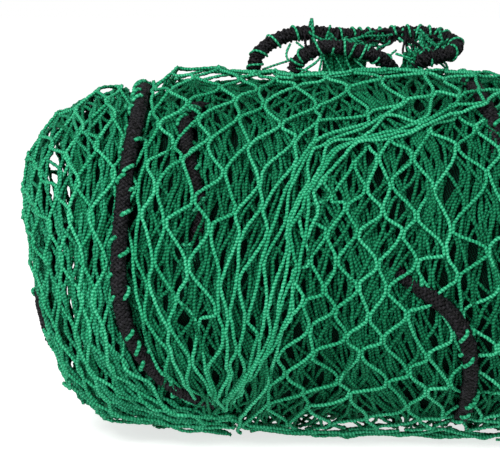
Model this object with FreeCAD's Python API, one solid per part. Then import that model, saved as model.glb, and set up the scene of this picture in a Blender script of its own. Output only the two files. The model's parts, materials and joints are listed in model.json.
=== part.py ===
"""A cargo climbing net stored as a gathered bundle, in millimetres.

One panel of knotless netting with a braided border rope is folded and rolled into a bolster. +X runs along
the bolster, +Z is up, and the viewer stands on the -Y side. The origin is on the floor under the middle of
the whole bundle. The netting's folds are solids of their bulk; ropes, knots, net loops and lashings are solids
of their own. The border rope's two slack loops on top flop to and fro on one hinge line along X.
"""

import FreeCAD, Part

import math
import os

from FreeCAD import Vector

# Cordage
ROPE_D = 10.0  # braided border rope
TWINE_D = 3.0  # netting twine
LASHING_D = 2.0  # thin cord that whips the netting to the rope
FIT_GAP = 0.3  # clearance between soft pieces that lie on each other
WRAP_GAP = 0.1  # clearance between the rope and what is wrapped round it

MESH_BAR = 25.0  # side of one square of the netting, which is also its hitches' spacing on the rope
LASHING_PITCH = 12.5  # from one turn of the lashing to the next

# Main roll of netting: a drum along X with rounded ends, which the end folds cover
MAIN_X = -7.0
MAIN_LENGTH = 366.0
MAIN_R = 125.0  # to half the depth of the outer layers of netting
MAIN_CORNER_R = 80.0
MAIN_AXIS_Z = 122.0  # less than the radius, so the floor flattens the roll
FOLD_THICKNESS = 80.0  # of the front fold and of the back one, measured into the roll

# End folds, which stand out past the roll's ends
LEFT_NOSE_X, LEFT_R, LEFT_CORNER_R, LEFT_AXIS_Z = -222.0, 117.0, 70.0, 121.0
RIGHT_NOSE_X, RIGHT_R, RIGHT_CORNER_R, RIGHT_AXIS_Z = 226.0, 116.0, 74.0, 119.0
LEFT_FOLD_SHOWS, RIGHT_FOLD_SHOWS = 68.0, 94.0  # length of each that stands clear of the roll
LEFT_LEAN, RIGHT_LEAN = -8.0, 5.0  # degrees that each end fold has tipped about the roll's end: its top leans out

# Slack loops of border rope on top, on one hinge line behind the roll's crest
HINGE_Y = 22.0
OUTER_REACH = 26.0  # from the hinge line up to the outer loop's crown
INNER_REACH = 18.0  # the same to the inner loop's crown
GATHER_HEIGHT = 17.0  # from the hinge line up to the top of the netting gathered between the loops
GATHER_R = 8.0
GATHER_X = (-12.0, 11.0)  # from the roll's middle to each gather

ROPE_R = ROPE_D / 2
CHANNEL_R = ROPE_R + WRAP_GAP + TWINE_D + FIT_GAP  # the channel that a rope and its wraps lie in
ARC_SHARE = 0.45  # of the shorter run, that a bend takes up at each side of its point

LEFT_SEAM_X = LEFT_NOSE_X + LEFT_FOLD_SHOWS
RIGHT_SEAM_X = RIGHT_NOSE_X - RIGHT_FOLD_SHOWS
FRONT_SEAM_Y = FOLD_THICKNESS - MAIN_R
BACK_SEAM_Y = -FRONT_SEAM_Y
ROOM = 4 * (MAIN_LENGTH + MAIN_R)  # larger than the whole bundle

# Rope routes round the main roll. Each station is (x from the roll's middle, degrees from the roll's top, depth
# of the rope's middle below the barrel); degrees are positive towards the viewer and negative round the back.
LEFT_ROUTE = [
    (-113, -150, 25), (-128, -141, 10), (-142, -124, 8), (-152, -100, 9), (-152, -73, 9), (-146, -46, 8),
    (-141, -20, 7), (-140, 6, 6), (-141, 28, 6.5), (-147, 49, 8), (-151, 71, 9), (-153, 92, 9),
    (-148, 106, 9), (-136, 118, 8), (-119, 128.5, 6.5), (-99, 135.5, 6), (-83, 143, 12), (-68, 149, 26),
]
RIGHT_ROUTE = [
    (-10, 74, 26), (10, 82, 15), (29, 86.5, 9.5), (46, 92.5, 3.5), (62, 97.5, 0), (74, 105, -0.5),
    (79, 116, 0), (78.5, 128, 0), (78, 140, 0.5), (72, 151, 6), (62, 159, 22),
]
TOP_RIGHT_ROUTE = [
    (92, 62, 24), (98, 48, 8), (94, 32, 0.5), (86, 15, 0), (81, -4, 0.5), (86, -24, -0.5), (95, -46, 0.5),
    (100, -68, 0), (98, -90, 0.5), (104, -112, 0.5), (97, -131, 5), (80, -143, 23),
]
INNER_ROUTE = [
    (-88, 8, 26), (-100, 17, 12), (-110, 29, 8), (-109, 43, 8), (-103, 57, 8.5), (-97, 70, 9.5),
    (-106, 80, 14), (-122, 86, 27),
]
# The rope's run round the left fold's nose: (x from the nose, y, z from the fold's axis)
NOSE_ROUTE = [
    (30, 6, 30), (10, -4, 14), (1.5, -12, -6), (0.5, -15, -22), (2, -14, -39), (4, -10, -54), (26, -6, -68),
]
# Slack loops: (x from the roll's middle, y from the hinge line, share of the reach above the hinge line)
OUTER_LOOP = [
    (-64, 0, 0.0), (-63, 1, 0.36), (-54, 4, 0.68), (-40, 7, 0.94), (-21, 10, 1.0), (-2, 12, 0.90),
    (20, 13, 0.88), (41, 14, 0.96), (57, 13, 0.97), (70, 9, 0.87), (79, -1, 0.70), (76, -13, 0.53),
    (66, -19, 0.42), (55, -17, 0.34), (49, -9, 0.22), (48, 0, 0.0),
]
INNER_LOOP = [
    (-36, 0, 0.0), (-32, -2, 0.42), (-23, -6, 0.78), (-10, -9, 1.0), (5, -11, 0.80), (18, -11, 0.66),
    (28, -7, 0.42), (33, 0, 0.0),
]


def drum(x_from, x_to, radius, corner_r, axis_z, pivot_x=MAIN_X, lean=0.0):
    """A closed drum of netting along X with rounded ends, tipped about a line through its axis and flattened
    where it rests on the floor."""
    chamfer = corner_r * (1 - math.sqrt(0.5))
    corners = [
        (Vector(x_from, 0, radius - corner_r), Vector(x_from + chamfer, 0, radius - chamfer),
         Vector(x_from + corner_r, 0, radius)),
        (Vector(x_to - corner_r, 0, radius), Vector(x_to - chamfer, 0, radius - chamfer),
         Vector(x_to, 0, radius - corner_r)),
    ]
    ends = [Vector(x_from, 0, 0), Vector(x_to, 0, 0)]
    edges = [
        Part.LineSegment(ends[0], corners[0][0]),
        Part.Arc(*corners[0]),
        Part.LineSegment(corners[0][2], corners[1][0]),
        Part.Arc(*corners[1]),
        Part.LineSegment(corners[1][2], ends[1]),
        Part.LineSegment(ends[1], ends[0]),
    ]
    profile = Part.Face(Part.Wire([edge.toShape() for edge in edges]))
    solid = profile.revolve(Vector(0, 0, 0), Vector(1, 0, 0), 360)
    solid.translate(Vector(0, 0, axis_z))
    solid.rotate(Vector(pivot_x, 0, axis_z), Vector(0, 1, 0), lean)
    return solid.common(slab(-ROOM, ROOM, -ROOM, ROOM))


def slab(x_from, x_to, y_from, y_to):
    """All the space above the floor between two planes across X and two across Y."""
    return Part.makeBox(x_to - x_from, y_to - y_from, ROOM, Vector(x_from, y_from, 0))


def largest_solid(shape):
    """The largest solid of a shape that a rope's channel may have nicked at its edge."""
    return max(shape.Solids, key=lambda s: s.Volume)


def on_roll(x, degrees, depth):
    """A point of a rope's middle on the main roll."""
    radius = MAIN_R - depth
    angle = math.radians(degrees)
    return Vector(MAIN_X + x, -radius * math.sin(angle), MAIN_AXIS_Z + radius * math.cos(angle))


def roll_top(y):
    """The height of the main roll's crest above the floor at y."""
    return MAIN_AXIS_Z + math.sqrt(MAIN_R**2 - y**2)


def hinge_height():
    return roll_top(HINGE_Y) + ROPE_R + FIT_GAP


def on_loop(x, y, share, reach):
    """A point of a slack loop's middle."""
    return Vector(MAIN_X + x, HINGE_Y + y, hinge_height() + share * reach)


def on_nose(x, y, z):
    """A point of a rope's middle on the left fold's nose."""
    lean, from_pivot = math.radians(LEFT_LEAN), LEFT_NOSE_X + x - LEFT_SEAM_X
    return Vector(
        LEFT_SEAM_X + from_pivot * math.cos(lean) + z * math.sin(lean),
        y,
        LEFT_AXIS_Z - from_pivot * math.sin(lean) + z * math.cos(lean),
    )


def bend_radius(before, point, after):
    """The radius and the setback of the arc that rounds a route's corner."""
    back, ahead = point - before, after - point
    turn = back.getAngle(ahead)
    setback = ARC_SHARE * min(back.Length, ahead.Length)
    return setback / math.tan(turn / 2), setback


def route_wire(points):
    """Straight runs joined by tangent arcs."""
    edges = []
    start = points[0]
    for before, point, after in zip(points, points[1:], points[2:]):
        radius, setback = bend_radius(before, point, after)
        to_start, to_end = (before - point).normalize(), (after - point).normalize()
        arc_start, arc_end = point + to_start * setback, point + to_end * setback
        halfway = (to_start + to_end).normalize()
        reach = math.hypot(radius, setback) - radius
        edges.append(Part.LineSegment(start, arc_start).toShape())
        edges.append(Part.Arc(arc_start, point + halfway * reach, arc_end).toShape())
        start = arc_end
    edges.append(Part.LineSegment(start, points[-1]).toShape())
    return Part.Wire(edges)


def tube(points, radius):
    """A round tube along a route, with its volume checked against its length."""
    path = route_wire(points)
    along = points[1] - points[0]
    ring = Part.Wire(Part.makeCircle(radius, points[0], along))
    solid = path.makePipeShell([ring], True, False)
    expected = math.pi * radius**2 * path.Length
    if abs(solid.Volume - expected) > 0.01 * expected:
        print(f"tube volume {solid.Volume:.0f} and not {expected:.0f}")
    return solid


def report_route(name, points):
    radii = [bend_radius(*three)[0] for three in zip(points, points[1:], points[2:])]
    runs = [(b - a).Length for a, b in zip(points, points[1:])]
    print(
        f"{name}: {route_wire(points).Length:.0f} mm long, radii {[round(r) for r in radii]},"
        f" runs {[round(r) for r in runs]}"
    )


def places_along(points, pitch, first, last):
    """(point, direction) at even steps along a route, from first to last millimetres short of its ends."""
    path = route_wire(points)
    found = path.discretize(Distance=1.0)
    steps = max(1, int((path.Length - first - last) / pitch))
    places = []
    for k in range(steps + 1):
        at = min(len(found) - 2, max(1, round((first + k * pitch) / path.Length * (len(found) - 1))))
        places.append((found[at], (found[at + 1] - found[at - 1]).normalize()))
    return places


def wraps(places, cord_d):
    """Turns of cord round the rope, one closed ring at each place."""
    rings = [Part.makeTorus(ROPE_R + WRAP_GAP + cord_d / 2, cord_d / 2, p, along) for p, along in places]
    return Part.makeCompound(rings)


def round_end(point, outward):
    """Half a ball on the flat end of a rope."""
    return Part.makeSphere(ROPE_R, point, outward, 0, 90, 360)


def slack_loop(points):
    """A rope with round ends, which stay clear of the netting as the loop flops."""
    ends = [round_end(points[0], points[0] - points[1]), round_end(points[-1], points[-1] - points[-2])]
    return tube(points, ROPE_R).fuse(ends).removeSplitter()


def gather(x):
    """A tuft of netting drawn together between the slack loops, wider at its top."""
    foot = Vector(MAIN_X + x, HINGE_Y, hinge_height())
    tuft = Part.makeCone(ROPE_R, GATHER_R, GATHER_HEIGHT, foot).fuse(round_end(foot, Vector(0, 0, -1)))
    return tuft.removeSplitter()


def netting_folds():
    """The netting's folds, which meet on flat seams."""
    roll_from = MAIN_X - MAIN_LENGTH / 2
    roll = drum(roll_from, roll_from + MAIN_LENGTH, MAIN_R, MAIN_CORNER_R, MAIN_AXIS_Z)
    left = drum(LEFT_NOSE_X, MAIN_X, LEFT_R, LEFT_CORNER_R, LEFT_AXIS_Z, LEFT_SEAM_X, LEFT_LEAN)
    right = drum(MAIN_X, RIGHT_NOSE_X, RIGHT_R, RIGHT_CORNER_R, RIGHT_AXIS_Z, RIGHT_SEAM_X, RIGHT_LEAN)
    return {
        "netting_front_fold": roll.common(slab(LEFT_SEAM_X, RIGHT_SEAM_X, -ROOM, FRONT_SEAM_Y)),
        "netting_middle_fold": roll.common(slab(LEFT_SEAM_X, RIGHT_SEAM_X, FRONT_SEAM_Y, BACK_SEAM_Y)),
        "netting_back_fold": roll.common(slab(LEFT_SEAM_X, RIGHT_SEAM_X, BACK_SEAM_Y, ROOM)),
        "netting_left_fold": left.common(slab(-ROOM, LEFT_SEAM_X, -ROOM, ROOM)),
        "netting_right_fold": right.common(slab(RIGHT_SEAM_X, ROOM, -ROOM, ROOM)),
    }


def save(name, shape):
    """Writes one node and says how many solids it has, and whether they are sound."""
    print(f"{name}: {len(shape.Solids)} solids, valid {shape.isValid()}, {shape.Volume:.0f} mm3")
    shape.exportStep(f"parts/{name}.step")


BUNDLE_ROPES = {
    "left": [on_roll(*station) for station in LEFT_ROUTE],
    "right": [on_roll(*station) for station in RIGHT_ROUTE],
    "top_right": [on_roll(*station) for station in TOP_RIGHT_ROUTE],
    "inner": [on_roll(*station) for station in INNER_ROUTE],
    "nose": [on_nose(*station) for station in NOSE_ROUTE],
}
SLACK_LOOPS = {
    "outer": [on_loop(*station, OUTER_REACH) for station in OUTER_LOOP],
    "inner": [on_loop(*station, INNER_REACH) for station in INNER_LOOP],
}

os.makedirs("parts", exist_ok=True)

channels = []
for name, points in BUNDLE_ROPES.items():
    report_route(name, points)
    channels.append(tube(points, CHANNEL_R))
    save(f"border_rope_{name}", tube(points, ROPE_R))
    save(f"net_hitches_{name}", wraps(places_along(points, MESH_BAR, MESH_BAR, MESH_BAR), TWINE_D))

for name, solid in netting_folds().items():
    save(name, largest_solid(solid.cut(channels)))

loop_channels = []
for name, points in SLACK_LOOPS.items():
    report_route(name, points)
    loop_channels.append(tube(points, CHANNEL_R))
    save(f"loop_rope_{name}", slack_loop(points))
    lashing = places_along(points, LASHING_PITCH, LASHING_PITCH, LASHING_PITCH)
    hitches = places_along(points, MESH_BAR, 1.5 * LASHING_PITCH, LASHING_PITCH)
    save(f"loop_lashing_{name}", wraps(lashing, LASHING_D))
    save(f"loop_hitches_{name}", wraps(hitches, TWINE_D))

for number, x in enumerate(GATHER_X, start=1):
    save(f"loop_gather_{number}", largest_solid(gather(x).cut(loop_channels)))
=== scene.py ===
"""Dresses the bundled cargo climbing net: gathered layers of netting, braided ropes, hitches and lashings."""

import json
import math

import bpy
import numpy as np
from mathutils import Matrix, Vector


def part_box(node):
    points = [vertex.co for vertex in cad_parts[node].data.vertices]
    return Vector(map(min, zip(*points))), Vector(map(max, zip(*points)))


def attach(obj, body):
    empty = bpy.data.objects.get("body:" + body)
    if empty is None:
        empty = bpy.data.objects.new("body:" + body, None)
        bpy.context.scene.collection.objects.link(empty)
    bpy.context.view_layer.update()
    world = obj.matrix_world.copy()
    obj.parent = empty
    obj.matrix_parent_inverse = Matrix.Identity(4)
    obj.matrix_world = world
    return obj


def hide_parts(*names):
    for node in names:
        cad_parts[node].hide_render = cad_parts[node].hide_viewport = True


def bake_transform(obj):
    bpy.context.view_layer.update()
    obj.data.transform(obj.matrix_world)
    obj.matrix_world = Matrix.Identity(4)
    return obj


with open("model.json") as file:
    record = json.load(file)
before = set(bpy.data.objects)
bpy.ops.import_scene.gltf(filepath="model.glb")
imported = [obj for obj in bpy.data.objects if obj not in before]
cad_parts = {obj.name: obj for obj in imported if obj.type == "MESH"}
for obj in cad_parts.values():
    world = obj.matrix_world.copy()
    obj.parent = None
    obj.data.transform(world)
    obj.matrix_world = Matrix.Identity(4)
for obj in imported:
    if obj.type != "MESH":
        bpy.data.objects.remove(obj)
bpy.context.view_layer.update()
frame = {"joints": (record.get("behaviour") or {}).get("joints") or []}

MM = 0.001

# Cordage, in millimetres
TWINE_R = 1.32
ROPE_R = 5.0
LOOP_R = 4.5  # of the rope in the slack loops, under the lashing
MESH_BAR = 23.0  # between two joints of the netting, measured along a slack twine


def metres(point):
    return tuple(c * MM for c in point)


def box_mm(node):
    """A node's lowest and highest corners, in millimetres."""
    low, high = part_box(node)
    return np.array(low) / MM, np.array(high) / MM


ROLL_LOW, ROLL_HIGH = box_mm("netting_middle_fold")
_, BACK_HIGH = box_mm("netting_back_fold")

ROLL_R = BACK_HIGH[1]
ROLL_AXIS_Z = ROLL_HIGH[2] - ROLL_R
LEFT_SEAM_X, RIGHT_SEAM_X = ROLL_LOW[0], ROLL_HIGH[0]

# The forms of the solids' folds
MAIN_X, MAIN_LENGTH, MAIN_CORNER_R = -7.0, 366.0, 80.0
LEFT_NOSE_X, LEFT_R, LEFT_CORNER_R, LEFT_AXIS_Z, LEFT_LEAN = -222.0, 117.0, 70.0, 121.0, -8.0
RIGHT_NOSE_X, RIGHT_R, RIGHT_CORNER_R, RIGHT_AXIS_Z, RIGHT_LEAN = 226.0, 116.0, 74.0, 119.0, 5.0
PROUD = 1.5  # how far the outer twines' middles stand outside the solids


# -------- rope routes, as the solids have them

# (x from the roll's middle, degrees from the top, depth of the rope's middle below the barrel)
LEFT_ROUTE = [
    (-113, -150, 25), (-128, -141, 10), (-142, -124, 8), (-152, -100, 9), (-152, -73, 9), (-146, -46, 8),
    (-141, -20, 7), (-140, 6, 6), (-141, 28, 6.5), (-147, 49, 8), (-151, 71, 9), (-153, 92, 9),
    (-148, 106, 9), (-136, 118, 8), (-119, 128.5, 6.5), (-99, 135.5, 6), (-83, 143, 12), (-68, 149, 26),
]
RIGHT_ROUTE = [
    (-10, 74, 26), (10, 82, 15), (29, 86.5, 9.5), (46, 92.5, 3.5), (62, 97.5, 0), (74, 105, -0.5),
    (79, 116, 0), (78.5, 128, 0), (78, 140, 0.5), (72, 151, 6), (62, 159, 22),
]
TOP_RIGHT_ROUTE = [
    (92, 62, 24), (98, 48, 8), (94, 32, 0.5), (86, 15, 0), (81, -4, 0.5), (86, -24, -0.5), (95, -46, 0.5),
    (100, -68, 0), (98, -90, 0.5), (104, -112, 0.5), (97, -131, 5), (80, -143, 23),
]
INNER_ROUTE = [
    (-88, 8, 26), (-100, 17, 12), (-110, 29, 8), (-109, 43, 8), (-103, 57, 8.5), (-97, 70, 9.5),
    (-106, 80, 14), (-122, 86, 27),
]
# (x from the nose, y, z from the left fold's axis)
NOSE_ROUTE = [
    (30, 6, 30), (10, -4, 14), (1.5, -12, -6), (0.5, -15, -22), (2, -14, -39), (4, -10, -54), (26, -6, -68),
]
# (x from the roll's middle, y from the hinge line, share of the reach above the hinge line)
OUTER_LOOP = [
    (-64, 0, 0.0), (-63, 1, 0.36), (-54, 4, 0.68), (-40, 7, 0.94), (-21, 10, 1.0), (-2, 12, 0.90),
    (20, 13, 0.88), (41, 14, 0.96), (57, 13, 0.97), (70, 9, 0.87), (79, -1, 0.70), (76, -13, 0.53),
    (66, -19, 0.42), (55, -17, 0.34), (49, -9, 0.22), (48, 0, 0.0),
]
INNER_LOOP = [
    (-36, 0, 0.0), (-32, -2, 0.42), (-23, -6, 0.78), (-10, -9, 1.0), (5, -11, 0.80), (18, -11, 0.66),
    (28, -7, 0.42), (33, 0, 0.0),
]
OUTER_REACH, INNER_REACH = 26.0, 18.0
HINGE = np.array(frame["joints"][0]["pos_m"]) / MM


def on_roll(x, degrees, depth):
    """Where a station of a route round the roll lies."""
    radius, angle = ROLL_R - depth, math.radians(degrees)
    return (MAIN_X + x, -radius * math.sin(angle), ROLL_AXIS_Z + radius * math.cos(angle))


def on_loop(x, y, share, reach):
    """Where a station of a slack loop lies."""
    return (MAIN_X + x, HINGE[1] + y, HINGE[2] + share * reach)


def on_nose(x, y, z):
    """Where a station of the route on the left fold's nose lies, tipped with the fold."""
    lean, from_pivot = math.radians(LEFT_LEAN), LEFT_NOSE_X + x - LEFT_SEAM_X
    return (
        LEFT_SEAM_X + from_pivot * math.cos(lean) + z * math.sin(lean),
        y,
        LEFT_AXIS_Z - from_pivot * math.sin(lean) + z * math.cos(lean),
    )


# -------- the bundle's surface

CORNER_POINTS, FLANK_POINTS, PROFILE_POINTS = 40, 150, 700
ROLL_END = 20.0  # the roll's own barrel isn't seen nearer than this to its ends
SMOOTHING = [0.1, 0.2, 0.4, 0.2, 0.1]
POLE_POINTS = 20  # at each end of the profile, which the smoothing leaves as they are

GROOVE_HALF_WIDTH = 9.0
GROOVE_FADE = 8.0  # degrees over which a groove runs out at each end
LEAN_FROM, LEAN_OVER = 7.0, 42.0  # where an end fold's lean starts past its seam, and how long it takes
FLOOR_PER_DEPTH, FLOOR_MOST = 3.5, 18.0  # how far off the floor a millimetre of depth keeps a layer
FLOOR_SOFTNESS = 2.0  # height over which the floor flattens the netting


def drum_radius(x, nose, inward, radius, corner):
    """Radius at x of a round-cornered roll that ends at nose. inward is 1 or -1, to the roll's middle."""
    into_corner = np.clip(corner - inward * (x - nose), 0, corner)
    return radius - corner + np.sqrt(corner**2 - into_corner**2)


def profile_table():
    """The bundle's outline through its axis, left to right: distance from x = 0, x, radius, axis height."""
    turn = np.linspace(0, math.pi / 2, CORNER_POINTS)
    left = LEFT_NOSE_X + LEFT_CORNER_R * (1 - np.cos(turn))
    right = (RIGHT_NOSE_X - RIGHT_CORNER_R * (1 - np.cos(turn)))[::-1]
    x = np.concatenate([left, np.linspace(left[-1], right[0], FLANK_POINTS)[1:-1], right])
    half = MAIN_LENGTH / 2
    roll = np.minimum(
        drum_radius(x, MAIN_X - half, 1, ROLL_R, MAIN_CORNER_R),
        drum_radius(x, MAIN_X + half, -1, ROLL_R, MAIN_CORNER_R),
    )
    radius = np.maximum.reduce([
        np.where(abs(x - MAIN_X) < half - ROLL_END, roll, 0),
        drum_radius(x, LEFT_NOSE_X, 1, LEFT_R, LEFT_CORNER_R) * (x < LEFT_SEAM_X),
        drum_radius(x, RIGHT_NOSE_X, -1, RIGHT_R, RIGHT_CORNER_R) * (x > RIGHT_SEAM_X),
    ]) + PROUD
    smooth = np.convolve(np.pad(radius, len(SMOOTHING) // 2, "edge"), SMOOTHING, "valid")
    inner = slice(POLE_POINTS, -POLE_POINTS)
    radius[inner] = smooth[inner]
    x, radius = np.concatenate([x[:1], x, x[-1:]]), np.concatenate([[0.0], radius, [0.0]])
    s = np.concatenate([[0], np.cumsum(np.hypot(np.diff(x), np.diff(radius)))])
    s = s - np.interp(0, x, s)
    axis_z = np.interp(
        x, [LEFT_NOSE_X, LEFT_SEAM_X, RIGHT_SEAM_X, RIGHT_NOSE_X],
        [LEFT_AXIS_Z, ROLL_AXIS_Z, ROLL_AXIS_Z, RIGHT_AXIS_Z],
    )
    even = np.linspace(s[0], s[-1], PROFILE_POINTS)
    return even, np.interp(even, s, x), np.interp(even, s, radius), np.interp(even, s, axis_z)


PROFILE_S, PROFILE_X, PROFILE_R, PROFILE_Z = profile_table()
TANGENT_X = np.gradient(PROFILE_X, PROFILE_S)
TANGENT_R = np.gradient(PROFILE_R, PROFILE_S)


def groove(x, degrees, route, first, last, depth):
    """How far a rope that lies in the netting presses its skin in, between two of the route's stations."""
    stations = sorted((d, x_) for x_, d, _ in route[first:last])
    rope_degrees, rope_x = np.array(stations).T
    away = x - (MAIN_X + np.interp(degrees, rope_degrees, rope_x))
    starts = np.clip((degrees - rope_degrees[0]) / GROOVE_FADE + 1, 0, 1)
    stops = np.clip((rope_degrees[-1] - degrees) / GROOVE_FADE + 1, 0, 1)
    return -depth * (starts * stops) * np.exp(-((away / GROOVE_HALF_WIDTH) ** 2))


def leaned(x, z, seam_x, axis_z, lean, outward):
    """Tips the end of the bundle that lies outward (1 or -1) of a seam, with a bend beside the seam."""
    share = np.clip((outward * (x - seam_x) - LEAN_FROM) / LEAN_OVER, 0, 1)
    turn = math.radians(lean) * share**2 * (3 - 2 * share)
    from_pivot, up = x - seam_x, z - axis_z
    return (
        seam_x + from_pivot * np.cos(turn) + up * np.sin(turn),
        axis_z - from_pivot * np.sin(turn) + up * np.cos(turn),
    )


# Hollows in the netting: the middle and the reach of each, both as distance and degrees, and its depth
NOSE_DENT = (50, 122), (25, 30), 5.0  # in front of the rope on the left nose, measured from that end's pole
CREST_DIP = (-110, 0), (38, 26), 4.0  # under the netting that stands off the crest, measured from x = 0


def hollow(s, degrees, middle, reach, depth):
    """How far the netting sinks round a place on the bundle."""
    return -depth * np.exp(-(((degrees - middle[1]) / reach[1]) ** 2) - ((s - middle[0]) / reach[0]) ** 2)


def swell(s, angle):
    """The slow waves in the bundle's skin."""
    return 2.2 * np.sin(s / 41.0 + 1.3 * np.sin(angle * 2)) * np.sin(angle * 3 + 0.8)


def surface(s, degrees, lift):
    """Points on the bundle, lift millimetres outside its skin. s is millimetres along the skin from x = 0."""
    s, degrees, lift = np.broadcast_arrays(s, degrees, lift)
    angle = np.radians(degrees)
    x = np.interp(s, PROFILE_S, PROFILE_X)
    inside = groove(x, degrees, INNER_ROUTE, 1, 7, 9.0) + hollow(s, degrees, *CREST_DIP)
    out = (
        lift
        + groove(x, degrees, LEFT_ROUTE, 1, 17, 8.0)
        + groove(x, degrees, RIGHT_ROUTE, 4, 10, 7.0)
        + hollow(s - PROFILE_S[0], degrees, *NOSE_DENT)
        + np.where(lift < -1, inside, 0.0)
        + swell(s, angle)
    )
    x = x - np.interp(s, PROFILE_S, TANGENT_R) * out
    radius = np.interp(s, PROFILE_S, PROFILE_R) + np.interp(s, PROFILE_S, TANGENT_X) * out
    y = -radius * np.sin(angle)
    z = np.interp(s, PROFILE_S, PROFILE_Z) + radius * np.cos(angle)
    x, z = leaned(x, z, LEFT_SEAM_X, LEFT_AXIS_Z, LEFT_LEAN, -1)
    x, z = leaned(x, z, RIGHT_SEAM_X, RIGHT_AXIS_Z, RIGHT_LEAN, 1)
    floor = TWINE_R + np.minimum(FLOOR_PER_DEPTH * np.maximum(0.0, -lift), FLOOR_MOST)
    z = floor + FLOOR_SOFTNESS * np.logaddexp(0.0, (z - floor) / FLOOR_SOFTNESS)
    return np.stack([x, y, z], axis=-1)


# -------- meshes from many cords

FULL_TURN = 6.28  # near enough, for turns drawn at random
WAVES = 6  # that are added for a ripple


def unit(vectors):
    return vectors / (np.linalg.norm(vectors, axis=-1, keepdims=True) + 1e-9)


def path_length(path):
    return float(np.linalg.norm(np.diff(path, axis=0), axis=1).sum())


def distances(path):
    """How far along a path each of its points lies."""
    return np.concatenate([[0], np.cumsum(np.linalg.norm(np.diff(path, axis=0), axis=1))])


def sampled(values, length, at):
    """Points or directions between those of a path, at distances along it."""
    return np.stack([np.interp(at, length, values[:, axis]) for axis in range(3)], axis=1)


def catmull(values, at):
    """Values between the points of a list, along its first axis, on a smooth line through them."""
    at = np.clip(np.asarray(at, float), 0, len(values) - 1 - 1e-9)
    k = at.astype(int)
    t = (at - k)[(...,) + (None,) * (values.ndim - 1)]
    first, last = 2 * values[:1] - values[1:2], 2 * values[-1:] - values[-2:-1]
    padded = np.concatenate([first, values, last])
    a, b, c, d = padded[k], padded[k + 1], padded[k + 2], padded[k + 3]
    return 0.5 * (2 * b + (c - a) * t + (2 * a - 5 * b + 4 * c - d) * t**2 + (3 * b - a - 3 * c + d) * t**3)


def ripple(rng, u, v, size, scale):
    """Smooth random waves over (u, v), one value for each point."""
    total = np.zeros(np.broadcast(u, v).shape)
    for _ in range(WAVES):
        ku, kv = rng.normal(0, 1 / scale, 2)
        total = total + np.sin(ku * u + kv * v + rng.uniform(0, 2 * math.pi))
    return size * total / WAVES**0.5


def tube_faces(rings, sides):
    """Corners and sizes of the faces of a tube over rings of vertices, closed at both ends."""
    i = np.arange(rings - 1)[:, None] * sides
    j = np.arange(sides)[None]
    k = (j + 1) % sides
    quads = np.stack([i + j, i + k, i + k + sides, i + j + sides], axis=-1).reshape(-1, 4)
    last = (rings - 1) * sides
    corners = np.concatenate([quads.ravel(), np.arange(sides)[::-1], last + np.arange(sides)])
    sizes = np.concatenate([np.full(len(quads), 4), [sides, sides]])
    return corners, sizes


def swept(line, out, wide, flat, sides, turn_every, phase, relief):
    """Vertices, face corners, face sizes and UVs of one swept cord, closed at both ends.

    out is roughly the outward direction at each point.
    """
    along = unit(np.gradient(line, axis=0))
    side = unit(np.cross(along, out))
    up = np.cross(side, along)
    length = distances(line)
    turn = 2 * math.pi * np.arange(sides)[None] / sides + phase
    if turn_every:
        turn = turn + (2 * math.pi * length / turn_every)[:, None]
    turn = np.broadcast_to(turn, (len(line), sides))
    ring = wide * np.cos(turn)[..., None] * side[:, None] + flat * np.sin(turn)[..., None] * up[:, None]
    ring[::2] *= 1 + relief
    ring[1::2] *= 1 - relief
    vertices = (line[:, None] + ring).reshape(-1, 3)
    ring_u = np.arange(sides) / sides
    shape = (len(line) - 1, sides)
    v0, v1 = np.broadcast_to(length[:-1, None], shape), np.broadcast_to(length[1:, None], shape)
    u0 = np.broadcast_to(ring_u, shape)
    u1 = u0 + 1 / sides
    uv = np.stack([u0, v0, u1, v0, u1, v1, u0, v1], axis=-1).reshape(-1, 2)
    caps_uv = [np.stack([ring_u, np.full(sides, v)], axis=-1) for v in (0.0, length[-1])]
    return vertices, *tube_faces(len(line), sides), np.concatenate([uv, caps_uv[0][::-1], caps_uv[1]])


def cord_mesh(name, cords, wide, flat=None, sides=4, turn_every=9.0, seed=1, relief=0.0):
    """One mesh piece of many cords, each a line in millimetres and the outward directions along it."""
    rng = np.random.default_rng(seed)
    vertices, corners, sizes, uvs, tones = [], [], [], [], []
    start = 0
    for line, out in cords:
        points, face_corners, face_sizes, uv = swept(
            line, out, wide, flat or wide, sides, turn_every, rng.uniform(0, FULL_TURN), relief
        )
        vertices.append(points)
        corners.append(face_corners + start)
        sizes.append(face_sizes)
        uvs.append(uv)
        tones.append(np.full(len(points), rng.uniform(0, 1)))
        start += len(points)
    return mesh_piece(name, *(np.concatenate(part) for part in (vertices, corners, sizes, uvs, tones)))


def new_object(name, data):
    made = bpy.data.objects.new(name, data)
    bpy.context.scene.collection.objects.link(made)
    return made


def mesh_piece(name, vertices, corners, sizes, uvs=None, tones=None):
    """A smooth-shaded mesh: vertices in millimetres, its faces' corners in one row, and each face's size."""
    mesh = bpy.data.meshes.new(name)
    mesh.vertices.add(len(vertices))
    mesh.vertices.foreach_set("co", (vertices * MM).ravel())
    mesh.loops.add(len(corners))
    mesh.loops.foreach_set("vertex_index", corners)
    mesh.polygons.add(len(sizes))
    mesh.polygons.foreach_set("loop_start", np.concatenate([[0], np.cumsum(sizes)[:-1]]))
    mesh.polygons.foreach_set("use_smooth", np.ones(len(sizes), bool))
    if uvs is not None:
        mesh.uv_layers.new(name="Strand").data.foreach_set("uv", uvs.ravel())
        mesh.attributes.new("tone", "FLOAT", "POINT").data.foreach_set("value", tones)
    mesh.update()
    mesh.validate()
    return new_object(name, mesh)


# -------- netting

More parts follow.
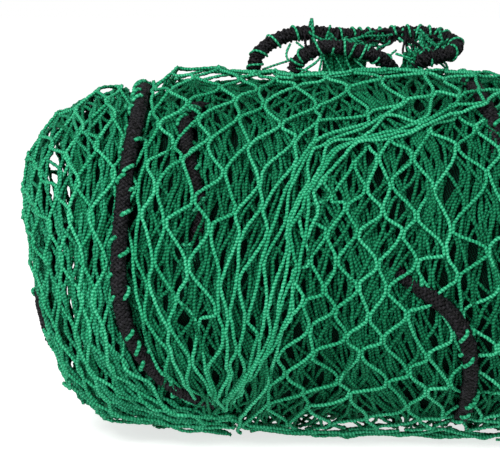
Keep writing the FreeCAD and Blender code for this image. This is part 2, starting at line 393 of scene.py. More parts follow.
JOINT_HALF = 2.6  # half the length over which two twines run knitted together
JOINT_APART = 0.78  # from a joint's middle to each of its two twines, as a share of a twine's radius
JOINT_WEAVE = 0.35  # how far each twine dips under or rises over the other there, as the same share
LEAST_STEP = 0.45  # of a bar, between two rows of joints where the meshes are drawn wide
GUIDE_ROWS = 300
MM_PER_DEGREE = 2.1  # round the roll, near enough for the netting's waves


def even_rows(where, bar):
    """Row positions down a patch, spaced so that each bar between joints keeps its length."""
    rows = np.linspace(0, 1, where.shape[1])
    across = np.linalg.norm(np.diff(where, axis=0), axis=-1).mean(axis=0)
    down = np.linalg.norm(np.diff(where, axis=1), axis=-1).mean(axis=0)
    step = np.sqrt(np.maximum(bar**2 - across**2, (LEAST_STEP * bar) ** 2)) + 0.5 * JOINT_HALF
    count = np.concatenate([[0], np.cumsum(down / step[:-1])])
    return np.interp(np.arange(0, count[-1], 1.0), count, rows)


def net_lines(grid, strands, seed, bar=MESH_BAR, skew=0.0, wander=2.6, rise=1.2, waves=(4, 30), segment=1.4):
    """The twines of a patch of knotless netting, each with the outward directions along it.

    grid[column][row] holds (s, degrees, lift). The twines run down the columns, and each meets its left and
    its right neighbour in turn, at joints where the two lie side by side. skew is how much further down the
    joints are in each column than in the one before, in rows of the grid.
    """
    rng = np.random.default_rng(seed)
    grid = np.array(grid, float)
    last_column, last_row = grid.shape[0] - 1, grid.shape[1] - 1

    fine = catmull(grid, np.linspace(0, last_column, strands)).swapaxes(0, 1)
    fine = catmull(fine, np.linspace(0, last_row, GUIDE_ROWS)).swapaxes(0, 1)
    rows = even_rows(surface(fine[..., 0], fine[..., 1], fine[..., 2]), bar) * last_row
    spare = int(abs(skew) * last_column / 2 / (rows[1] - rows[0])) + 1 if skew else 0
    before = rows[0] - (rows[1] - rows[0]) * np.arange(spare, 0, -1)
    after = rows[-1] + (rows[-1] - rows[-2]) * np.arange(1, spare + 1)
    rows = np.concatenate([before, rows, after])

    k = np.arange(strands)[:, None]
    j = np.arange(len(rows))[None]
    meets_right = (k + j) % 2 == 0
    side_sign = np.where(meets_right, 1.0, -1.0)
    joint_id = np.where(meets_right, k, k - 1)
    joint_column = np.clip((k + 0.5 * side_sign) / (strands - 1), 0, 1) * last_column
    joint_row = rows[None] + skew * (joint_column - last_column / 2)
    flat = np.stack([
        np.stack([catmull(catmull(grid, [c])[0], [r])[0] for c, r in zip(joint_column[n], joint_row[n])])
        for n in range(strands)
    ])
    s, degrees, lift = flat[..., 0], flat[..., 1], flat[..., 2]
    arc = degrees * MM_PER_DEGREE
    shifts = rng.normal(0, wander, (strands + 1, len(rows), 2))[joint_id, j]
    s = s + ripple(rng, s, arc, *waves) + shifts[..., 0]
    degrees = degrees + (ripple(rng, s, arc, *waves) + shifts[..., 1]) / MM_PER_DEGREE
    lift = lift + rng.normal(0, rise, (strands + 1, len(rows)))[joint_id, j]
    over = side_sign * rng.choice([-1.0, 1.0], (strands + 1, len(rows)))[joint_id, j]

    joints = surface(s, degrees, lift)
    outs = unit(surface(s, degrees, lift + 1.0) - joints)
    down = unit(np.gradient(joints, axis=1))
    down = unit(down + rng.normal(0, 0.12, (strands + 1, len(rows), 3))[joint_id, j])
    across = np.cross(outs, down)
    middle = joints - across * (side_sign * JOINT_APART * TWINE_R)[..., None]
    weave = outs * (over * JOINT_WEAVE * TWINE_R)[..., None]
    starts = middle - down * JOINT_HALF + weave
    ends = middle + down * JOINT_HALF - weave

    chord = starts[:, 1:] - ends[:, :-1]
    reach = np.linalg.norm(chord, axis=-1, keepdims=True)
    pull = rng.uniform(0.7, 1.1, reach.shape) * reach
    lean = rng.normal(0, 0.16, down.shape)
    straight = 0.65 * unit(chord)
    leave = (0.35 * down + lean)[:, :-1] + straight
    arrive = (0.35 * down - lean)[:, 1:] + straight
    steps = max(4, round(float(reach.mean()) / segment))
    bars = hermite(ends[:, :-1], starts[:, 1:], leave * pull, arrive * pull, steps)
    through = down * 2 * JOINT_HALF
    knits = hermite(starts, ends, through, through, max(2, round(2 * JOINT_HALF / segment)))
    line = np.concatenate([knits[:, :-1], bars], axis=2).reshape(strands, -1, 3)
    line = np.concatenate([line, knits[:, -1], ends[:, -1:]], axis=1)
    per_row = knits.shape[2] + bars.shape[2]
    normals = np.repeat(outs, per_row, axis=1)[:, : line.shape[1]]
    held = (joint_row >= 0) & (joint_row <= last_row)
    first = per_row * held.argmax(axis=1)
    last = per_row * (held.shape[1] - held[:, ::-1].argmax(axis=1))
    parts = [slice(*stretch) for stretch in zip(first, last)]
    return [(line[n, part], normals[n, part]) for n, part in enumerate(parts)]


def hermite(p0, p1, m0, m1, steps):
    """Points from p0 to p1, without p1, on smooth lines that leave along m0 and arrive along m1."""
    t = np.linspace(0, 1, steps, endpoint=False)[:, None]
    p0, p1, m0, m1 = (v[..., None, :] for v in (p0, p1, m0, m1))
    return ((2 * t**3 - 3 * t**2 + 1) * p0 + (t**3 - 2 * t**2 + t) * m0
            + (3 * t**2 - 2 * t**3) * p1 + (t**3 - t**2) * m1)


def net_piece(name, skin, grid, strands, seed, stands_for=(), **options):
    """A sheet of netting, gathered."""
    twines = net_lines(grid, strands, seed, **options)
    piece = cord_mesh(name, twines, TWINE_R, turn_every=26.0, seed=seed, relief=0.08)
    dress(piece, skin, stands_for=stands_for)
    twine = sum(path_length(line) for line, _ in twines)


# -------- ropes

POINTS_PER_WRAP = 26  # for each turn of a hitch
POINTS_PER_TURN = 18  # for each turn of a lashing


def rope_path(name, points, step=0.55):
    """Even points along the NURBS line that has a route's points as its control points, in millimetres."""
    curve = bpy.data.curves.new(name, "CURVE")
    curve.dimensions = "3D"
    curve.resolution_u = 24
    spline = curve.splines.new("NURBS")
    spline.points.add(len(points) - 1)
    for control, point in zip(spline.points, points):
        control.co = (*metres(point), 1)
    spline.order_u = 3
    spline.use_endpoint_u = True
    guide = bpy.data.objects.new(name, curve)
    mesh = bpy.data.meshes.new_from_object(guide)
    line = np.empty(len(mesh.vertices) * 3)
    mesh.vertices.foreach_get("co", line)
    line = line.reshape(-1, 3) / MM
    bpy.data.objects.remove(guide)
    bpy.data.curves.remove(curve)
    bpy.data.meshes.remove(mesh)
    length = distances(line)
    return sampled(line, length, np.linspace(0, length[-1], max(8, int(length[-1] / step))))


def rope_frames(path):
    """Two directions across a rope at each point, carried along without twist."""
    along = unit(np.gradient(path, axis=0))
    any_direction = (0.3, 0.5, 0.8)
    first = np.cross(along[0], any_direction)
    across = np.empty_like(path)
    for n, direction in enumerate(along):
        first = first - direction * (first @ direction)
        first = first / np.linalg.norm(first)
        across[n] = first
    return across, np.cross(along, across)


def round_rope(path, across, other, radius, angles):
    """A line round a rope: radius and angle at each point of its path, and the outward direction there."""
    out = np.cos(angles)[:, None] * across + np.sin(angles)[:, None] * other
    return path + radius[:, None] * out, out


# As shares of a braid's radius: how far its strands lie from its middle, how far they weave either way and
# wear shifts them, their own half width and half thickness, and the radius of its dark core
BRAID_MEAN, BRAID_WEAVE, BRAID_WEAR = 0.74, 0.14, 0.07
STRAND_WIDE, STRAND_FLAT = 0.25, 0.24
BRAID_CORE = 0.72


def braid(name, path, radius, seed, pitch=17.0, each_way=6):
    """A plaited rope: strands wound each way, which pass over and under each other."""
    rng = np.random.default_rng(seed)
    across, other = rope_frames(path)
    length = distances(path)
    turn = 2 * math.pi * length / pitch
    strands = []
    for hand in (1, -1):
        weave = radius * (BRAID_MEAN + BRAID_WEAVE * hand * np.cos(each_way * turn))
        for strand in range(each_way):
            wear = np.interp(length, length[::6], rng.normal(0, 1, len(length[::6])))
            worn = weave + BRAID_WEAR * radius * wear
            angles = hand * turn + strand * 2 * math.pi / each_way
            strands.append(round_rope(path, across, other, worn, angles))
    wide, flat = STRAND_WIDE * radius, STRAND_FLAT * radius
    return cord_mesh(name, strands, wide, flat, sides=6, turn_every=None, seed=seed)


def core_tube(name, path, radius):
    """The dark inside of a braid, which shows between its strands."""
    across, _ = rope_frames(path)
    return cord_mesh(name, [(path[::4], across[::4])], radius, sides=10, turn_every=None)


def wraps(name, path, places, radius, cord_r, turns, slant, seed, hand=0):
    """Turns of a thin cord round a rope at places (millimetres along it), each a short helix with sunk ends.

    slant is how far along the rope a turn goes. hand is the way that they wind, 1 or -1, or 0 for both.
    """
    rng = np.random.default_rng(seed)
    across, other = rope_frames(path)
    length = distances(path)
    wound = []
    for place in places:
        count = turns * rng.uniform(0.75, 1.25)
        steps = max(10, int(POINTS_PER_WRAP * count))
        t = np.linspace(0, 1, steps)
        at = place + (t - 0.5) * slant * count * rng.uniform(0.7, 1.3)
        angles = rng.uniform(0, FULL_TURN) + 2 * math.pi * count * t * (hand or rng.choice([-1, 1]))
        out_of_rope = np.minimum(np.minimum(t, 1 - t) * 6, 1)
        reach = radius + cord_r * (0.75 - 1.3 * (1 - out_of_rope))
        here, side, up = (sampled(values, length, at) for values in (path, across, other))
        wound.append(round_rope(here, unit(side), unit(up), reach, angles))
    return cord_mesh(name, wound, cord_r, sides=6, seed=seed)


def loose_twines(name, routes, cord_r=TWINE_R, seed=1, step=1.4):
    """Single twines along smooth lines through given points."""
    twines = []
    for route in routes:
        points = np.array(route, float)
        line = catmull(points, np.linspace(0, len(points) - 1, max(6, int(path_length(points) / step))))
        twines.append((line, rope_frames(line)[0]))
    return cord_mesh(name, twines, cord_r, seed=seed)


# -------- materials


class Finish:
    """A principled material with short calls for its nodes."""

    def __init__(self, name, **constants):
        self.material = bpy.data.materials.new(name)
        self.material.use_nodes = True
        self.nodes = self.material.node_tree.nodes
        self.links = self.material.node_tree.links
        self.shader = self.nodes["Principled BSDF"]
        for socket, value in constants.items():
            self.shader.inputs[socket.replace("_", " ")].default_value = value

    def put(self, socket, value):
        if isinstance(value, bpy.types.NodeSocket):
            self.links.new(value, socket)
        else:
            socket.default_value = value

    def node(self, kind, **inputs):
        """A new node, with its inputs set to values or fed from other nodes."""
        node = self.nodes.new("ShaderNode" + kind)
        for socket, value in inputs.items():
            self.put(node.inputs[socket], value)
        return node

    def math(self, operation, *values):
        node = self.node("Math")
        node.operation = operation
        for socket, value in zip(node.inputs, values):
            self.put(socket, value)
        return node.outputs[0]

    def blend_sum(self, *terms):
        """The sum of values, each times its share."""
        total = None
        for value, share in terms:
            part = self.math("MULTIPLY", value, share)
            total = part if total is None else self.math("ADD", total, part)
        return total

    def strand(self):
        """The way round (0 to 1) and along (millimetres) a cord."""
        uv = self.node("UVMap")
        uv.uv_map = "Strand"
        split = self.node("SeparateXYZ", Vector=uv.outputs["UV"])
        return split.outputs["X"], split.outputs["Y"]

    def place(self):
        return self.node("TexCoord").outputs["Object"]

    def noise(self, scale, detail=2.0, vector=None):
        return self.node("TexNoise", Scale=scale, Detail=detail, Vector=vector or self.place()).outputs["Fac"]

    def tone(self):
        """Each cord's own shade, from 0 to 1."""
        node = self.node("Attribute")
        node.attribute_name = "tone"
        return node.outputs["Fac"]

    def ramp(self, value, *stops):
        node = self.node("ValToRGB", Fac=value)
        elements = node.color_ramp.elements
        while len(elements) < len(stops):
            elements.new(0.5)
        for element, (position, color) in zip(elements, stops):
            element.position = position
            element.color = (*color, 1)
        return node.outputs["Color"]

    def bump(self, height, strength, distance):
        node = self.node("Bump", Height=height, Strength=strength, Distance=distance)
        self.links.new(node.outputs["Normal"], self.shader.inputs["Normal"])


STITCH = 2.15  # from one stitch of the twine to the next, in millimetres


def twine_finish(name, dark, middle, light):
    """Knitted twine: stitches that wind along it, with painted highlights on their crowns and painted shade
    in the gaps between.
    """
    f = Finish(name, Roughness=0.62, Specular_IOR_Level=0.06, Sheen_Weight=0.02, Sheen_Roughness=0.5)
    f.shader.inputs["Sheen Tint"].default_value = (0.2, 1.0, 0.55, 1)
    around, along = f.strand()
    phase = f.math("ADD", f.math("DIVIDE", along, STITCH), around)
    wave = f.math("SINE", f.math("MULTIPLY", phase, 2 * math.pi))
    stitches = f.math("MULTIPLY_ADD", wave, 0.5, 0.5)
    mixed = f.blend_sum((stitches, 0.33), (f.noise(600.0), 0.26), (f.noise(38.0), 0.24), (f.tone(), 0.12))
    # The stitch wave paints each stitch's light and shade into the colour: painted highlight on the crown,
    # painted shade in the gap; the noise and the cord's tone are the twine's own colour
    color = f.ramp(mixed, (0.17, dark), (0.49, middle), (0.84, light))
    f.links.new(color, f.shader.inputs["Base Color"])
    f.bump(mixed, strength=0.9, distance=0.0006)
    return f.material


def rope_finish(name, dark, light, fibre):
    """Black braid yarn: fine fibres along each strand, with worn pale ones."""
    f = Finish(name, Specular_IOR_Level=0.14)
    around, along = f.strand()
    stretched = f.node("CombineXYZ", X=f.math("MULTIPLY", around, 7.0), Y=f.math("MULTIPLY", along, 0.22))
    fibres = f.noise(fibre, 3.0, stretched.outputs["Vector"])
    specks = f.noise(460.0, 1.0)
    mixed = f.blend_sum((fibres, 0.4), (specks, 0.6), (f.tone(), 0.12))
    f.links.new(f.ramp(mixed, (0.5, dark), (0.78, light)), f.shader.inputs["Base Color"])
    f.links.new(f.math("MULTIPLY_ADD", fibres, 0.35, 0.36), f.shader.inputs["Roughness"])
    f.bump(mixed, strength=1.0, distance=0.0012)
    return f.material


def core_finish(name):
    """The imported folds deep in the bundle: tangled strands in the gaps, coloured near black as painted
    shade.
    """
    f = Finish(name, Roughness=0.9, Specular_IOR_Level=0.05)
    strands = []
    for scale, turn in ((210.0, 0.4), (260.0, 2.1)):
        mapping = f.node("Mapping", Vector=f.place(), Rotation=(0.2, turn, 0.3))
        waves = f.node("TexWave", Vector=mapping.outputs["Vector"], Scale=scale, Distortion=5.0, Detail=2.0)
        strands.append(waves.outputs["Fac"])
    mixed = f.blend_sum((strands[0], 0.5), (strands[1], 0.3), (f.noise(60.0), 0.3))
    # near black to darkest green: painted shade of the netting deep inside
    color = f.ramp(mixed, (0.45, (0.0008, 0.004, 0.0025)), (0.95, (0.002, 0.035, 0.017)))
    f.links.new(color, f.shader.inputs["Base Color"])
    f.bump(mixed, strength=1.0, distance=0.002)
    return f.material


# Three colourings of the same netting, darker the deeper a layer lies: painted shade, as less light reaches
# it
GREEN = twine_finish("netting_green", (0.002, 0.075, 0.026), (0.014, 0.275, 0.126), (0.120, 0.60, 0.35))
GREEN_SHADED = twine_finish(
    "netting_green_painted_shade", (0.0012, 0.048, 0.017), (0.0075, 0.18, 0.082), (0.065, 0.44, 0.25)
)
GREEN_SHADED_DEEP = twine_finish(
    "netting_green_painted_deep_shade", (0.0002, 0.019, 0.006), (0.0026, 0.107, 0.043), (0.023, 0.29, 0.14)
)
BLACK = (0.0003, 0.0004, 0.0005)
BLACK_ROPE = rope_finish("border_rope_black", BLACK, (0.019, 0.018, 0.022), fibre=1.6)
BLACK_CORD = rope_finish("lashing_black", BLACK, (0.016, 0.016, 0.019), fibre=2.2)
CORE_PAINTED_SHADE = core_finish("netting_packed_painted_shade")


def dress(piece, skin, body="bundle", stands_for=()):
    """Gives a piece its finish, the body it rides on (none where it joins two) and the nodes it replaces."""
    piece.data.materials.append(skin)
    if body:
        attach(piece, body)
    if stands_for:
        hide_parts(*stands_for)


# -------- netting on the bundle

# A layer's control points: columns that its twines run down, as (millimetres along the skin, degrees round
# it). with_lift adds how far each point stands off the skin.
FRONT_FAN_COLUMNS = [
    [(-147, -60), (-145, -20), (-144, 12), (-146, 38), (-150, 62), (-151, 86), (-144, 108), (-126, 128),
     (-92, 143)],
    [(-122, -60), (-121, -20), (-118, 12), (-121, 38), (-130, 62), (-134, 86), (-129, 108), (-113, 128),
     (-91, 143)],
    [(-93, -60), (-90, -20), (-86, 10), (-91, 36), (-105, 62), (-113, 86), (-109, 108), (-99, 128),
     (-90, 143)],
    [(-60, -60), (-56, -20), (-52, 10), (-58, 34), (-77, 60), (-92, 86), (-90, 108), (-88, 128), (-89, 143)],
    [(-22, -60), (-18, -20), (-12, 9), (-20, 31), (-50, 56), (-72, 84), (-76, 107), (-82, 127), (-88, 143)],
    [(32, -60), (36, -20), (44, 12), (16, 32), (-33, 51), (-55, 75), (-63, 101), (-76, 125), (-87, 143)],
    [(88, -60), (92, -20), (80, 22), (24, 36), (-27, 54), (-47, 75), (-56, 101), (-73, 125), (-87, 143)],
    [(142, -60), (144, -20), (104, 25), (32, 39), (-20, 57), (-39, 75), (-49, 101), (-70, 125), (-86, 143)],
]
# For each of those: off the crest at the left, and low round the slack loops' feet
CREST_LIFTS = [4.5, 4.5, 4.0, 1.5, -1, -1, -1, -1]
FRONT_LOWER_COLUMNS = [
    [(-32, 52), (-40, 74), (-45, 98), (-66, 123), (-84, 142), (-83, 150), (-81, 158)],
    [(-4, 44), (-5, 68), (-6, 93), (-17, 118), (-30, 140), (-34, 149), (-36, 158)],
    [(36, 34), (38, 62), (40, 91), (38, 117), (28, 140), (24, 149), (20, 158)],
    [(90, 22), (91, 56), (94, 88), (93, 117), (86, 140), (82, 149), (78, 158)],
    [(146, 6), (150, 50), (154, 88), (154, 117), (148, 140), (144, 149), (140, 158)],
]
LEFT_LOBE_COLUMNS = [
    [(-152, -175), (-157, -100), (-152, -40), (-151, 0), (-158, 45), (-163, 90), (-155, 115), (-128, 134),
     (-92, 146)],
    [(-172, -175), (-174, -100), (-170, -40), (-169, 0), (-176, 45), (-180, 90), (-172, 117), (-140, 138),
     (-90, 150)],
    [(-192, -175), (-194, -100), (-190, -40), (-189, 0), (-194, 45), (-197, 90), (-188, 120), (-152, 142),
     (-88, 155)],
    [(-214, -175), (-215, -100), (-213, -40), (-212, 0), (-216, 45), (-218, 90), (-208, 123), (-166, 147),
     (-84, 160)],
    [(-240, -175), (-241, -100), (-240, -40), (-239, 0), (-242, 45), (-244, 90), (-236, 128), (-200, 156),
     (-118, 174)],
    [(-276, -175), (-276, -100), (-276, -40), (-276, 0), (-276, 45), (-276, 90), (-275, 130), (-268, 160),
     (-250, 186)],
]
BOTTOM_EDGE_COLUMNS = [
    [(-88, 144), (-62, 151), (-24, 154), (20, 155), (62, 155), (104, 152), (140, 146), (170, 138)],
    [(-87, 146), (-60, 156), (-22, 160), (22, 161), (64, 161), (106, 158), (142, 151), (172, 142)],
    [(-86, 148), (-58, 161), (-20, 166), (24, 167), (66, 167), (108, 164), (144, 156), (174, 146)],
]
ROLL_FROM, ROLL_TO = -150, 150  # the roll's own stretch of the skin
RIGHT_FROM = 148  # where the right end fold comes out from under the roll's netting
LEFT_POLE, RIGHT_POLE = PROFILE_S[0], PROFILE_S[-1]
SLANT = 60.0  # how far along the roll twines of a lean of 1 drift either way


def with_lift(column, lifts):
    return [(s, degrees, lift) for (s, degrees), lift in zip(column, lifts)]


def ring_grid(s_from, s_to, lift, seed, lean=0.0, turns=(-190, 190), columns=5, rows=9, sway=6.0):
    """Control points for twines that run round the roll, and slant along it as they go where they lean."""
    rng = np.random.default_rng(seed)
    degrees = np.linspace(*turns, rows)
    drift = np.array([lean * SLANT * math.sin(math.radians(d) * 1.5) for d in degrees])
    return [
        [(s + shift + rng.normal(0, sway), d, lift) for d, shift in zip(degrees, drift)]
        for s in np.linspace(s_from, s_to, columns)
    ]


def front_netting():
    fan = [
        with_lift(column, [1, crest, 3.5, 1, 0, 0, 0, -1, -5])
        for crest, column in zip(CREST_LIFTS, FRONT_FAN_COLUMNS)
    ]
    net_piece(
        "net_front_fan", GREEN, fan, strands=17, seed=11, stands_for=["netting_front_fold"], segment=0.9,
        skew=0.11,
    )
    lower = [with_lift(column, [-3, -1, 0, 0, 0, 0, 0]) for column in FRONT_LOWER_COLUMNS]
    net_piece("net_front_lower", GREEN, lower, strands=15, seed=12, segment=0.9, skew=0.24)
    edge = [with_lift(column, [0, 1, 2, 2, 2, 2, 1, 0]) for column in BOTTOM_EDGE_COLUMNS]
    net_piece("net_bottom_edge", GREEN, edge, strands=5, seed=23, segment=0.9, bar=30.0)


def left_netting():
    lobe, under = (
        [with_lift(column, [depth] * 8 + [depth - 3]) for column in LEFT_LOBE_COLUMNS] for depth in (0, -2.2)
    )
    close = {"rise": 0.8, "wander": 1.6}
    net_piece(
        "net_left_lobe", GREEN, lobe, strands=13, seed=13, stands_for=["netting_left_fold"], segment=0.9,
        wander=1.6, waves=(4, 45),
    )
    # The layers under the lobe and on the nose take the darker colourings of the netting: painted shade
    net_piece("net_left_under", GREEN_SHADED, under, strands=25, seed=29, **close)
    nose = ring_grid(LEFT_POLE + 5, LEFT_POLE + 74, -5.5, seed=10, sway=2.0)
    net_piece("net_left_nose", GREEN_SHADED, nose, strands=21, seed=24, **close)
    nose_inside = ring_grid(LEFT_POLE + 3, LEFT_POLE + 70, -9.0, seed=11, sway=2.0)
    net_piece("net_left_nose_inside", GREEN_SHADED_DEEP, nose_inside, strands=21, seed=25, **close)


def back_and_right_netting():
    back = ring_grid(ROLL_FROM, ROLL_TO, 0, seed=7, turns=(-176, -50))
    net_piece("net_back", GREEN, back, strands=25, seed=17, stands_for=["netting_back_fold"])
    right = ring_grid(RIGHT_FROM, RIGHT_POLE - 9, 0, seed=8)
    net_piece("net_right_lobe", GREEN, right, strands=31, seed=18, stands_for=["netting_right_fold"])


def packed_netting():
    """The layers inside the bundle, which show through the meshes of the outer ones, in the darkest colouring
    as painted shade.
    """
    packed = {"segment": 1.8, "waves": (6, 60), "wander": 1.3, "rise": 0.8}
    bunched = {"columns": 10, "rows": 12}
    upper = ring_grid(ROLL_FROM, ROLL_TO, -3.0, seed=4, lean=0.35, sway=15.0, **bunched)
    net_piece(
        "net_inner_1", GREEN_SHADED_DEEP, upper, strands=50, seed=14, stands_for=["netting_middle_fold"], **packed
    )
    crossing = ring_grid(ROLL_FROM, ROLL_TO, -5.2, seed=5, lean=-0.5, sway=15.0, **bunched)
    net_piece("net_inner_2", GREEN_SHADED_DEEP, crossing, strands=52, seed=15, **packed)
    lowest = ring_grid(ROLL_FROM, ROLL_TO, -7.2, seed=6, lean=0.15, sway=9.0, **bunched)
    net_piece("net_inner_3", GREEN_SHADED_DEEP, lowest, strands=56, seed=21, **packed)
    left = ring_grid(-205, ROLL_FROM, -4, seed=6)
    net_piece("net_inner_left", GREEN_SHADED_DEEP, left, strands=17, seed=16, **packed)
    right = ring_grid(RIGHT_FROM, RIGHT_POLE - 8, -3.5, seed=9)
    net_piece("net_inner_right", GREEN_SHADED_DEEP, right, strands=40, seed=19, **packed)


def packed_core(name, inset, s_from, s_to, steps_s=90, steps_t=120):
    """The mass of folds inside the netting, dark as painted shade."""
    s = np.linspace(s_from, s_to, steps_s)
    degrees = np.linspace(-180, 180, steps_t, endpoint=False)
    grid = surface(s[:, None], degrees[None], -inset).reshape(-1, 3)
    dress(mesh_piece(name, grid, *tube_faces(steps_s, steps_t)), CORE_PAINTED_SHADE)


# -------- ropes and what is tied to them

# For each run of the border rope: its route, what places it, and at how many places it is tied
ROPES = {
    "left": (LEFT_ROUTE, on_roll, 16),
    "right": (RIGHT_ROUTE, on_roll, 5),
    "top_right": (TOP_RIGHT_ROUTE, on_roll, 10),
    "inner": (INNER_ROUTE, on_roll, 5),
    "nose": (NOSE_ROUTE, on_nose, 3),
}
HITCHES = 5  # at each of those places


def border_ropes():
    for n, (run, (route, place, hitches)) in enumerate(ROPES.items()):
        path = rope_path(f"guide_{run}", [place(*station) for station in route])
        rope = braid(f"rope_{run}", path, ROPE_R, seed=30 + n)
        dress(rope, BLACK_ROPE, stands_for=[f"border_rope_{run}"])
        dress(core_tube(f"rope_{run}_core", path, BRAID_CORE * ROPE_R), BLACK_CORD)
        rng = np.random.default_rng(40 + n)
        length = path_length(path)
        places = np.repeat(np.linspace(0.04, 0.96, hitches) * length, HITCHES)
        places = places + rng.normal(0, 0.25 * length / hitches, len(places))
        tied = wraps(
            f"hitches_{run}", path, places, ROPE_R + 0.4, 1.45, turns=0.2, slant=28.0, seed=50 + n, hand=1
        )
        dress(tied, GREEN, stands_for=[f"net_hitches_{run}"])


def spiral(name, path, radius, cord_r, pitch, seed):
    """A thin cord wound in one uneven spiral along a rope."""
    rng = np.random.default_rng(seed)
    turns = int(path_length(path) / pitch)
    path = catmull(path, np.linspace(0, len(path) - 1, POINTS_PER_TURN * turns))
    across, other = rope_frames(path)
    angles = np.linspace(0, 2 * math.pi * turns, len(path))
    slack, tight = (np.interp(angles, angles[::12], rng.normal(0, 1, len(angles[::12]))) for _ in range(2))
    wound = round_rope(path, across, other, radius + 0.2 * tight, angles + 0.35 * slack)
    return cord_mesh(name, [wound], cord_r, sides=6, turn_every=6.0, seed=seed)


# Where green twine is tied round each slack loop, as shares of its length
OUTER_TIES = [
    0.03, 0.07, 0.13, 0.19, 0.25, 0.31, 0.36, 0.39, 0.41, 0.44, 0.46, 0.49, 0.51, 0.54, 0.57, 0.60, 0.63,
    0.66, 0.70, 0.76, 0.83, 0.90, 0.96,
]
INNER_TIES = [0.08, 0.16, 0.30, 0.42, 0.50, 0.58, 0.66, 0.74, 0.88]
# For each slack loop: its route, its reach, where it is tied, and its rope's length in metres
LOOPS = {
    "outer": (OUTER_LOOP, OUTER_REACH, OUTER_TIES, 0.218),
    "inner": (INNER_LOOP, INNER_REACH, INNER_TIES, 0.085),
}


def slack_loops():
    for n, (which, (route, reach, ties, length)) in enumerate(LOOPS.items()):
        stations = [on_loop(*station, reach) for station in route]
        path = rope_path(f"guide_loop_{which}", stations)
        rope = braid(f"loop_{which}", path, LOOP_R, seed=60 + n)
        dress(rope, BLACK_ROPE, "top_loops", [f"loop_rope_{which}"])
        core = core_tube(f"loop_{which}_core", path, BRAID_CORE * LOOP_R)
        dress(core, BLACK_CORD, "top_loops")
        lashing = spiral(f"lashing_{which}", path, LOOP_R + 0.1, cord_r=0.95, pitch=4.4, seed=62 + n)
        dress(lashing, BLACK_CORD, "top_loops", [f"loop_lashing_{which}"])
        rng = np.random.default_rng(64 + n)
        places = np.array(ties) * path_length(path) + rng.normal(0, 1.2, len(ties))
        tied = wraps(
            f"loop_ties_{which}", path, places, LOOP_R + 0.55, 0.95, turns=0.9, slant=8.0, seed=66 + n
        )
        dress(tied, GREEN, "top_loops", [f"loop_hitches_{which}"])
        metres(stations[0])
        [metres(point) for point in path]


# Single twines between the slack loops and the roll: (x from the roll's middle, y from the hinge line, height
# over it)
LOOP_TWINES = [
    [(-38, 7, 18), (-41, 5, 11), (-39.5, 2, 6)],
    [(-58, 2, 0), (-49, 2, 3.2), (-40, 2, 6), (-33, -1, 8)],
    [(-34, 6, 19), (-25, 0, 13), (-16, -8, 12)],
    [(-16, -9, 12), (-20, -7, 6), (-30, -6, -1), (-34, -8, -6)],
    [(-16, -9, 12), (-17, -8, 4), (-19, -8, -4)],
    [(-16, -9, 12), (-13, -9, 4), (-8, -8, -5)],
    [(-34, -5, 1.5), (-26, -7, -0.5), (-18, -8, -3.5), (-10, -9, -3)],
    [(-8, -8, 12), (-4, -9, 5), (0, -9, -3)],
    [(3, -8, 16), (1, -10, 8), (6, -9, -3)],
    [(10, -6, 15), (6, -9, 9), (13, -10, 2), (16, -8, -5)],
    [(-2, 0, 14), (6, -8, 9), (16, -10, 7), (27, -8, 8), (36, -2, 14)],
    [(38, 8, 22), (47, 4, 17), (57, 6, 20), (63, 8, 18)],
    [(49, 8, 20), (51.5, 2, 11), (57, -8, 2), (66, -14, -6)],
    [(51, -10, 2), (59, -16, -5), (66, -18, -6), (71, -16, -1), (69, -12, 6), (60, -10, 5), (53, -9, 1)],
    [(56, -10, 6), (66, -13, 5.5), (70, -16, 0), (67, -18, -6), (61, -18, -6.5)],
    [(62, -9, 16), (60, -10, 13), (64, -12, 11), (68, -11, 14), (66, -9, 17)],
    [(41, -12, 10), (50, -14, 4), (58, -18, -3), (62, -20, -8)],
    [(35, -10, 12), (46, -14, 9), (56, -17, 9), (64, -15, 12)],
    [(44, 0, 16), (47, -8, 8), (44, -12, 0), (40, -14, -8)],
]
# Tufts of netting drawn up to the loops: (x, y, lean along x, height of bottom and top, radius of bottom,
# waist and top)
TUFTS = [
    (-12, 0, 2, -9, 17, 10, 4.5, 8),
    (11, 0, -3, -10, 18, 13, 5.5, 9),
    (43, -8, 4, -11, 12, 14, 6.0, 8),
    (-2, -3, 0, -8, 16, 8, 4.5, 9),
]
GATHERS = 2  # the first tufts, which stand for the solids' gathers
TIE_HEIGHT = 7  # below and above the hinge line


def above_hinge(x, y, z):
    return (MAIN_X + x, HINGE[1] + y, HINGE[2] + z)


def tuft_twines(x, y, lean, low, high, foot_r, waist_r, top_r, rng, count=26):
    """Twines drawn together at a waist, for one tuft."""
    for angle in rng.uniform(0, 2 * math.pi, count):
        sway = rng.normal(0, 0.25, 4)
        stations = zip((low, 0.35 * low, 0.35 * high, high), (foot_r, 0.6 * foot_r, waist_r, top_r), sway)
        yield [
            above_hinge(
                x + lean * n / 3 + radius * rng.uniform(0.55, 1.05) * math.cos(angle + turn),
                y + radius * rng.uniform(0.55, 1.05) * math.sin(angle + turn),
                z + rng.normal(0, 0.8),
            )
            for n, (z, radius, turn) in enumerate(stations)
        ]


def tangle(rng, count, starts, ends):
    """Short twines drawn this way and that between two stretches of the slack loops."""
    for _ in range(count):
        places = [(line, rng.uniform(*share) * (len(line) - 1)) for line, share in (starts, ends)]
        between = np.linspace(*(catmull(line, [at])[0] for line, at in places), 5)
        between[1:-1] += rng.normal(0, 3.6, (3, 3))
        yield between


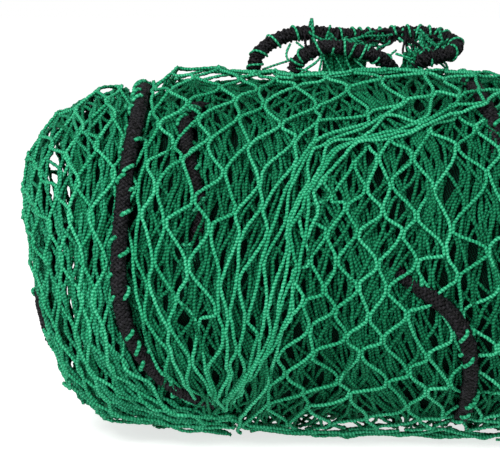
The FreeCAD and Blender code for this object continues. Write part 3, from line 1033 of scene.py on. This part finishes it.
def loop_netting():
    """What joins the slack loops to one another and to the roll: tangled twine, tufts and a web."""
    rng = np.random.default_rng(71)
    outer = np.array([on_loop(*station, OUTER_REACH) for station in OUTER_LOOP])
    inner = np.array([on_loop(*station, INNER_REACH) for station in INNER_LOOP])
    across = [((outer, (0.24, 0.5)), (inner, (0.2, 0.75))), ((outer, (0.42, 0.62)), (outer, (0.74, 0.92)))]
    green = [line for starts, ends in across for line in tangle(rng, 24, starts, ends)]
    # The tangle and the tufts take darker colourings of the netting: painted shade
    dress(loose_twines("loop_tangle", green, 1.05, seed=77), GREEN_SHADED, "top_loops")
    black = [line for starts, ends in across for line in tangle(rng, 12, starts, ends)]
    dress(loose_twines("lashing_tangle", black, 1.1, seed=78), BLACK_CORD, "top_loops")
    start, end = (metres(above_hinge(0, 0, z)) for z in (-TIE_HEIGHT, TIE_HEIGHT))
    for n, tuft in enumerate(TUFTS, start=1):
        piece = loose_twines(f"net_tuft_{n}", tuft_twines(*tuft, rng), seed=72 + n)
        gathers = [f"loop_gather_{n}"] if n <= GATHERS else ()
        dress(piece, GREEN_SHADED_DEEP, None, gathers)
        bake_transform(piece)
        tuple(start)
        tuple(end)
    routes = [[above_hinge(*point) for point in route] for route in LOOP_TWINES]
    web = loose_twines("net_loop_web", routes, 1.0, seed=76)
    dress(web, GREEN, None)
    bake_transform(web)
    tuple(start)
    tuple(end)


# -------- stage, light and camera


def stage():
    bpy.ops.mesh.primitive_plane_add(size=12, location=(0, 0, 0))
    floor = bpy.context.object
    floor.name = "floor"
    white = Finish("floor_white", Roughness=0.9, Specular_IOR_Level=0.0, Emission_Strength=0.72)
    white.shader.inputs["Base Color"].default_value = (0.5, 0.5, 0.5, 1)
    white.shader.inputs["Emission Color"].default_value = (1, 1, 1, 1)
    floor.data.materials.append(white.material)


def studio_world():
    """White behind the object, and a softer white as its light."""
    world = bpy.data.worlds.new("studio")
    world.use_nodes = True
    nodes, links = world.node_tree.nodes, world.node_tree.links
    seen = nodes["Background"]
    seen.inputs["Color"].default_value = (1, 1, 1, 1)
    seen.inputs["Strength"].default_value = 1.0
    light = nodes.new("ShaderNodeBackground")
    light.inputs["Strength"].default_value = 0.75
    rays = nodes.new("ShaderNodeLightPath")
    mix = nodes.new("ShaderNodeMixShader")
    links.new(rays.outputs["Is Camera Ray"], mix.inputs[0])
    links.new(light.outputs[0], mix.inputs[1])
    links.new(seen.outputs[0], mix.inputs[2])
    links.new(mix.outputs[0], nodes["World Output"].inputs[0])
    bpy.context.scene.world = world


LIGHT_AIM = np.array([0, 0, 0.12])


def area_light(name, place, size, power):
    data = bpy.data.lights.new(name, "AREA")
    data.size = size
    data.energy = power
    lamp = new_object(name, data)
    lamp.location = place
    lamp.rotation_euler = Vector(LIGHT_AIM - np.array(place)).to_track_quat("-Z", "Y").to_euler()


CAMERA_AIM = np.array([-0.0735, 0.0, 0.1405])
CAMERA_DISTANCE = 1.6
CAMERA_TILT = math.radians(8)  # down from level
CAMERA_LENS, CAMERA_SENSOR = 164.6, 36.0


def camera():
    data = bpy.data.cameras.new("photo_camera")
    data.lens = CAMERA_LENS
    data.sensor_width = CAMERA_SENSOR
    cam = new_object("photo_camera", data)
    cam.location = CAMERA_AIM + CAMERA_DISTANCE * np.array([0, -math.cos(CAMERA_TILT), math.sin(CAMERA_TILT)])
    cam.rotation_euler = (math.pi / 2 - CAMERA_TILT, 0, 0)
    bpy.context.scene.camera = cam


# -------- the whole scene

camera()
border_ropes()
slack_loops()
front_netting()
left_netting()
back_and_right_netting()
packed_netting()
loop_netting()
packed_core("core_main", 8.5, ROLL_FROM, RIGHT_POLE - 2)
packed_core("core_left", 9.5, -197, -145)
stage()
studio_world()
area_light("key", (-0.9, -1.5, 1.7), size=1.0, power=56)
area_light("fill", (1.2, -1.4, 0.8), size=1.5, power=6)
bpy.context.scene.view_settings.view_transform = "Standard"

bpy.context.view_layer.update()
